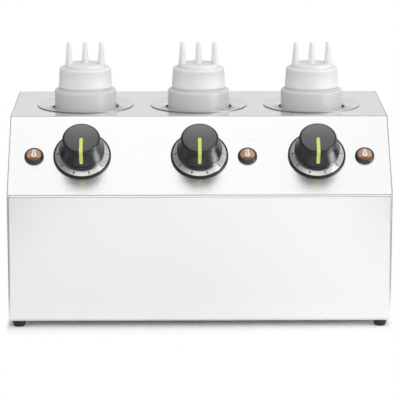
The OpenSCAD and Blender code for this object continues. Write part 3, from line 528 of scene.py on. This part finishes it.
satin_black = moulded("dial black", 0.008, 0.012, 0.4)
silver = Finish("dial silver", Metallic=1.0, Anisotropic=0.85, Anisotropic_Rotation=0.25)
reach = silver.node("VectorMath", dict(operation="LENGTH"), {0: silver.place()}, "Value")
turns = silver.noise(silver.node("CombineXYZ", {}, {"X": reach * 2500}))
silver.wear(Base_Color=silver.ramp(turns, (0.3, 0.74), (0.7, 0.82)), Roughness=turns * 0.1 + 0.23)
ink = moulded("dial ink", 0.008, 0.014, 0.6)
base_line = rounded([
    (SHAFT_HOLE_R, 0), (BASE_R, 0, 0.5), (BASE_R, BASE_H, 0.9), (RING_R, BASE_H),
    (RING_R, RING_LOW), (RING_IN_R, RING_LOW), (RING_IN_R, BASE_H), (SHAFT_HOLE_R, BASE_H)])
ring_line = rounded([(RING_IN_R, RING_LOW), (RING_R, RING_LOW), (RING_R, RING_EDGE, 0.25),
                     (RING_IN_R, RING_TOP)])
for n in (1, 2, 3):
    x = (n - 2) * PITCH
    disc = turned(f"dial_disc_{n}", base_line, [satin_black], closed=True, steps=160)
    on_fascia(disc, x)
    ride(disc, "casing", "black_plastic", f"dial_base_{n}")
    ring = turned(f"scale_ring_{n}", ring_line, [silver.material], closed=True, steps=160)
    on_fascia(ring, x)
    ride(ring, "casing", "dial_silver", f"dial_ring_{n}")
    for number in range(9):
        figure = link(f"scale_{n}_{number}", printed(number), [ink])
        turn = radians(NUMBER_STEP * number + FIRST_NUMBER)
        on_fascia(figure, x)
        figure.matrix_world = (
            figure.matrix_world @ Matrix.Rotation(-turn, 4, "Z")
            @ Matrix.Translation(Vector((0, -NUMBER_R, NUMBER_Z)) * MM)
            @ Matrix.Rotation(RING_FALL, 4, "X") @ Matrix.Rotation(pi, 4, "Z"))
        ride(figure, "casing", "black_plastic")

# Knobs.
# Black moulded knobs, hollow, with a satin face, a groove under the head and a flared
# skirt. A yellow-green strip runs from the middle of the face down the skirt.
KNOB_R, SKIRT_R, KNOB_H, KNOB_Z = 20.8, 24.8, 33.5, 7.5
FACE_ROUND, CROWN, GROOVE_Z, FLARE_Z, LIP_Z = 2.6, 0.9, 27.9, 26.4, 12.1
SKIRT_IN_R, SHELL_IN_R, SHELL_IN_Z = 22.6, 18.6, 28.5
HUB_R, HUB_BORE_R, HUB_BORE_Z = 6.2, 3.05, 26.55
FACE_R, FACE_RISE = KNOB_R - FACE_ROUND, 2 * KNOB_R * sin(SLOPE)
FACE_LOW = SEAM_Z + KNOB_UP * sin(SLOPE) + KNOB_H * cos(SLOPE) - FACE_RISE / 2
satin = Finish("knob face", Specular_IOR_Level=0.8)
spark = satin.grain(1600)
# The face's colour is painted lighter toward its upper edge: a painted sheen for the overhead
# light that the satin face reflects.
painted_sheen_rise = (satin.parts(satin.place())[2] - FACE_LOW * MM) * (1 / (FACE_RISE * MM))
satin.wear(Base_Color=satin.ramp(painted_sheen_rise, (0.0, 0.045), (0.5, 0.085), (1.0, 0.18)),
           Roughness=spark * 0.06 + 0.32, Normal=satin.bump(spark, 0.00006, 0.5))
gloss_black = moulded("knob black", 0.004, 0.006, 0.3, 0.00002, Specular_IOR_Level=0.7)
lime = Finish("pointer lime")
cloud = lime.grain(200)
lime.wear(Base_Color=lime.ramp(cloud, (0.3, (0.68, 0.71, 0.16)), (0.7, (0.74, 0.77, 0.20))),
          Roughness=cloud * 0.1 + 0.35)
flare = [(KNOB_R - 0.1 + (SKIRT_R - KNOB_R - 0.4) * q ** 1.35, FLARE_Z + (LIP_Z - FLARE_Z) * q)
         for q in [k / 16 for k in range(17)]]
knob_line = [Vector(p) for p in (
    *[(r, KNOB_H - CROWN * (r / FACE_R) ** 2) for r in (0, 3, 6, 9, 12, 15)],
    *curve((FACE_R, KNOB_H - FACE_ROUND - CROWN), FACE_ROUND, 86, 0, 10),
    (KNOB_R, GROOVE_Z + 0.15), (KNOB_R - 0.5, GROOVE_Z - 0.4), (KNOB_R - 0.5, FLARE_Z + 0.4),
    *flare, (SKIRT_R, LIP_Z - 0.4), (SKIRT_R, KNOB_Z + 0.5), (SKIRT_R - 0.12, KNOB_Z + 0.12),
    (SKIRT_R - 0.5, KNOB_Z), (SKIRT_IN_R, KNOB_Z), (SKIRT_IN_R, 10.9), (SHELL_IN_R, 19.5),
    (SHELL_IN_R, SHELL_IN_Z), (HUB_R, SHELL_IN_Z), (HUB_R, KNOB_Z + 0.2),
    (HUB_BORE_R, KNOB_Z + 0.2), (HUB_BORE_R, HUB_BORE_Z), (0, HUB_BORE_Z))]
for n in (1, 2, 3):
    knob = turned(f"moulded_knob_{n}", knob_line, [gloss_black, satin.material], steps=180,
                  marks=lambda r, z: int(z > KNOB_H - 0.8 and r < FACE_R + 0.4))
    on_fascia(knob, (n - 2) * PITCH)
    # The mesh takes its place over, so that the face is shaded by its height over the table.
    knob.data.transform(knob.matrix_world)
    knob.matrix_world = Matrix()
    ride(knob, f"knob_{n}", "knob_plastic", f"knob_{n}")
    dress(f"knob_pointer_{n}", lime.material)

# Pilot lamps.
# A black bezel clipped into the fascia holds a domed amber lens, which carries a white
# thermometer sign.
LAMP_UP, LAMP_ASIDE = 53, 52.8
BEZEL_R, BEZEL_SIDE_H, BEZEL_H = 10.7, 2.2, 4.2
LENS_R, LENS_SEAT, LENS_EDGE_H, LENS_RISE = 8, 1, 3.8, 2.0
LENS_FIT_R = LENS_R - 0.02
DOME_R = (LENS_R ** 2 + LENS_RISE ** 2) / (2 * LENS_RISE)
DOME_Z = LENS_EDGE_H + LENS_RISE - DOME_R
PAINTED_SHADE_Y, PAINTED_LIGHT_Y = -5.5, -3.5
bezel_black = moulded("bezel black", 0.03, 0.045, 0.35)
amber = Finish("amber lens", Coat_Weight=0.4, Coat_Roughness=0.1)
spot = amber.place()
cells = amber.node("TexVoronoi", {}, {"Vector": spot, "Scale": 700.0}, "Distance")
# Painted light and shade: the lens is deep orange near its lower rim and pale above it, where it
# would show a veil of reflected light.
painted_light_share = amber.node("MapRange", {}, {"Value": amber.parts(spot)[1], 1: PAINTED_SHADE_Y * MM,
                                    2: PAINTED_LIGHT_Y * MM, 3: 0.0, 4: 1.0})
amber.wear(Base_Color=amber.blend(painted_light_share, (0.20, 0.07, 0.02), (0.56, 0.33, 0.21)),
           Roughness=cells * 0.2 + 0.2, Normal=amber.bump(cells, 0.0003, 0.4))
# Painted light: the white sign has a faint warm glow of its own.
sign_white_glow = moulded("sign white", 0.90, 0.94, 0.5, Emission_Color=(1.0, 0.92, 0.88),
                     Emission_Strength=0.08)
bezel_line = rounded([
    (0, 0), (BEZEL_R, 0, 0.3), (BEZEL_R, BEZEL_SIDE_H, 1.2), (LENS_R + 1, BEZEL_H, 0.6),
    (LENS_R, BEZEL_H, 0.15), (LENS_R, LENS_SEAT), (0, LENS_SEAT)], 6)
lens_line = ([Vector((0, LENS_SEAT)), Vector((LENS_FIT_R, LENS_SEAT))]
             + curve((0, DOME_Z), DOME_R, 90 - degrees(asin(LENS_FIT_R / DOME_R)), 90, 14))


def on_dome(points, lift=0.12):
    """Lays flat points on the lens."""
    return [(x, y, DOME_Z + sqrt((DOME_R + lift) ** 2 - x * x - y * y)) for x, y in points]


def thermometer():
    """Outlined tube with a bulb, lying on the lens."""
    def outline(tube, bulb, bulb_y=-1.5, top_y=4.9):
        gap = asin(tube / bulb)
        neck = bulb_y + bulb * cos(gap)
        side = [neck + (top_y - neck) * k / 8 for k in range(1, 8)]
        turns = [-(pi - gap) + 2 * (pi - gap) * k / 20 for k in range(21)]
        tip = [pi * k / 8 for k in range(9)]
        return ([(bulb * sin(t), bulb_y - bulb * cos(t)) for t in turns]
                + [(tube, y) for y in side]
                + [(tube * cos(t), top_y + tube * sin(t)) for t in tip]
                + [(-tube, y) for y in side[::-1]])

    ring, hole = on_dome(outline(1.65, 2.6)), on_dome(outline(0.6, 1.2))
    count = len(ring)
    faces = [(k, (k + 1) % count, count + (k + 1) % count, count + k) for k in range(count)]
    mesh = bpy.data.meshes.new("sign")
    mesh.from_pydata([Vector(p) * MM for p in ring + hole], [], faces)
    return mesh


for n, x in enumerate((-PITCH - LAMP_ASIDE, LAMP_ASIDE, PITCH + LAMP_ASIDE), 1):
    bezel = turned(f"lamp_bezel_{n}", bezel_line, [bezel_black], steps=96)
    lens = turned(f"amber_lens_{n}", lens_line, [amber.material], steps=96)
    sign = smooth(link(f"lamp_sign_{n}", thermometer(), [sign_white_glow]))
    for piece in (bezel, lens, sign):
        on_fascia(piece, x, LAMP_UP)
    ride(bezel, "casing", "lamp_bezel", f"lamp_{n}")
    ride(lens, "casing", "lamp_amber", f"lamp_lens_{n}")
    ride(sign, "casing", "ceramic_white")

# Bottles.
# Blow-moulded squeeze bottles of milky polyethylene with a wide neck, a bead under the cap
# and a pushed-up foot. They stand loose in the wells.
BOTTLE_R, WALL, NECK_R, BORE_R, BEAD_R = 35, 1.2, 27, 25.2, 30.0
SHOULDER, SHOULDER_R, CAP_Z, NECK_TOP = 188.5, 3.2, 190.3, 209.5
STAND_R, FOOT_EDGE_R, PUSH_R, PUSH_UP = 27, 5, 24, 2


def milky(name, low, high, rough, soak):
    """Milky polyethylene: light goes some way in and comes out softened."""
    soft = Finish(name, IOR=1.5, Subsurface_Weight=soak, Subsurface_Scale=0.004,
                  Subsurface_Radius=(1.0, 1.0, 1.0))
    cloud, skin = soft.grain(35, 35, 20, detail=3.0), soft.grain(1200)
    soft.wear(Base_Color=soft.ramp(cloud, (0.3, low), (0.7, high)),
              Roughness=cloud * 0.06 + rough - 0.03, Normal=soft.bump(skin, 0.00004, 0.4))
    return soft.material


bottle_plastic = milky("bottle plastic", (0.70, 0.705, 0.71), (0.76, 0.765, 0.77), 0.35, 0.5)
cap_plastic = milky("cap plastic", (0.90, 0.902, 0.905), (0.94, 0.942, 0.945), 0.35, 0.5)
shoulder = (BOTTLE_R - SHOULDER_R, SHOULDER - 1 - SHOULDER_R)
foot_edge = (BOTTLE_R - FOOT_EDGE_R, FOOT_EDGE_R)
bottle_line = [Vector(p) for p in (
    (0, PUSH_UP), (PUSH_R, PUSH_UP), (STAND_R, 0.05), *curve(foot_edge, FOOT_EDGE_R, -90, 0, 8),
    *curve(shoulder, SHOULDER_R, 0, 80, 10), (BEAD_R, SHOULDER - 0.5), (BEAD_R, CAP_Z - 0.7),
    (BEAD_R - 0.4, CAP_Z - 0.3), (NECK_R, CAP_Z - 0.3), (NECK_R, NECK_TOP - 0.4),
    (NECK_R - 0.4, NECK_TOP), (BORE_R, NECK_TOP), (BORE_R, SHOULDER - 2.4),
    *curve(shoulder, SHOULDER_R - WALL, 80, 0, 8),
    *curve(foot_edge, FOOT_EDGE_R - WALL, 0, -90, 6),
    (STAND_R, WALL), (PUSH_R, PUSH_UP + WALL), (0, PUSH_UP + WALL))]
for n in (1, 2, 3):
    bottle = turned(f"squeeze_bottle_{n}", bottle_line, [bottle_plastic], steps=160)
    bottle.location = Vector(((n - 2) * PITCH, WELL_Y, FLOOR_Z)) * MM
    ride(bottle, f"bottle_{n}", "bottle_plastic", f"bottle_{n}")

# Caps.
# Injection-moulded screw caps with fine grip ribs, a raised boss and three open nozzles in
# a row, each cap on a flat sealing ring.
CAP_R, CAP_TOP_R, CAP_H, CAP_EDGE_R, BOSS_R, BOSS_H = 30.4, 29.15, 22.2, 2.6, 22.5, 3.8
CAP_IN_R, CAP_IN_Z, BOSS_IN_R = 27.5, 20.4, 20.8
RIBS, RIB_DEPTH = 72, 0.4
NOZZLE_PITCH, NOZZLE_H = 18.3, 23.8


def ribbed(piece, low, high):
    """Sinks the flutes between the grip ribs, between two heights."""
    for vertex in piece.data.vertices:
        x, y, z = vertex.co / MM
        r = hypot(x, y)
        if low < z < high and r > CAP_TOP_R - 1:
            vertex.co.xy *= 1 - RIB_DEPTH * (0.5 - 0.5 * cos(RIBS * atan2(y, x))) / r


cap_line = [Vector(p) for p in (
    (CAP_R - 0.25, 0), (CAP_R - 0.02, 0.3), (CAP_R - 0.04, 0.8), (CAP_R - 0.06, 1.1),
    (CAP_TOP_R + 0.05, CAP_H - 3.4), (CAP_TOP_R, CAP_H - 2.9),
    *curve((CAP_TOP_R - CAP_EDGE_R, CAP_H - CAP_EDGE_R), CAP_EDGE_R, 0, 90, 8),
    *rounded([(BOSS_R + 1.5, CAP_H), (BOSS_R, CAP_H, 0.5), (BOSS_R, CAP_H + BOSS_H, 1),
              (0, CAP_H + BOSS_H)])[1:],
    (0, CAP_IN_Z + BOSS_H), (BOSS_IN_R, CAP_IN_Z + BOSS_H), (BOSS_IN_R, CAP_IN_Z),
    (CAP_IN_R, CAP_IN_Z), (CAP_IN_R, 0))]
nozzle_line = [Vector(p) for p in (
    (4.6, -0.5), (4.45, 0.1), (4.15, 0.9), (3.9, 3), (2.3, NOZZLE_H - 0.3),
    (2.2, NOZZLE_H - 0.05), (2.05, NOZZLE_H), (1.4, NOZZLE_H), (1.3, NOZZLE_H - 0.2),
    (1.5, NOZZLE_H - 5), (3.0, -1.4))]
for n in (1, 2, 3):
    cap = turned(f"nozzle_cap_{n}", cap_line, [cap_plastic], closed=True, steps=RIBS * 4)
    ribbed(cap, 1, CAP_H - 3.2)
    cap.location = Vector(((n - 2) * PITCH, WELL_Y, FLOOR_Z + CAP_Z)) * MM
    ride(cap, f"cap_{n}", "cap_plastic", f"cap_{n}")
    for k in (-1, 0, 1):
        nozzle = turned(f"nozzle_{n}_{k + 2}", nozzle_line, [cap_plastic], closed=True, steps=48)
        nozzle.location = cap.location + Vector((k * NOZZLE_PITCH, 0, CAP_H + BOSS_H)) * MM
        ride(nozzle, f"cap_{n}", "cap_plastic")
    dress(f"cap_seal_{n}", cap_plastic)

# Supply side.
# A moulded cord gland is held in the rear panel by its nut. Behind it, inside the casing,
# stands a terminal block.
dress("cable_gland", satin_black)
dress("gland_nut", satin_black)
dress("terminal_block", moulded("terminal block white", 0.70, 0.78, 0.4))
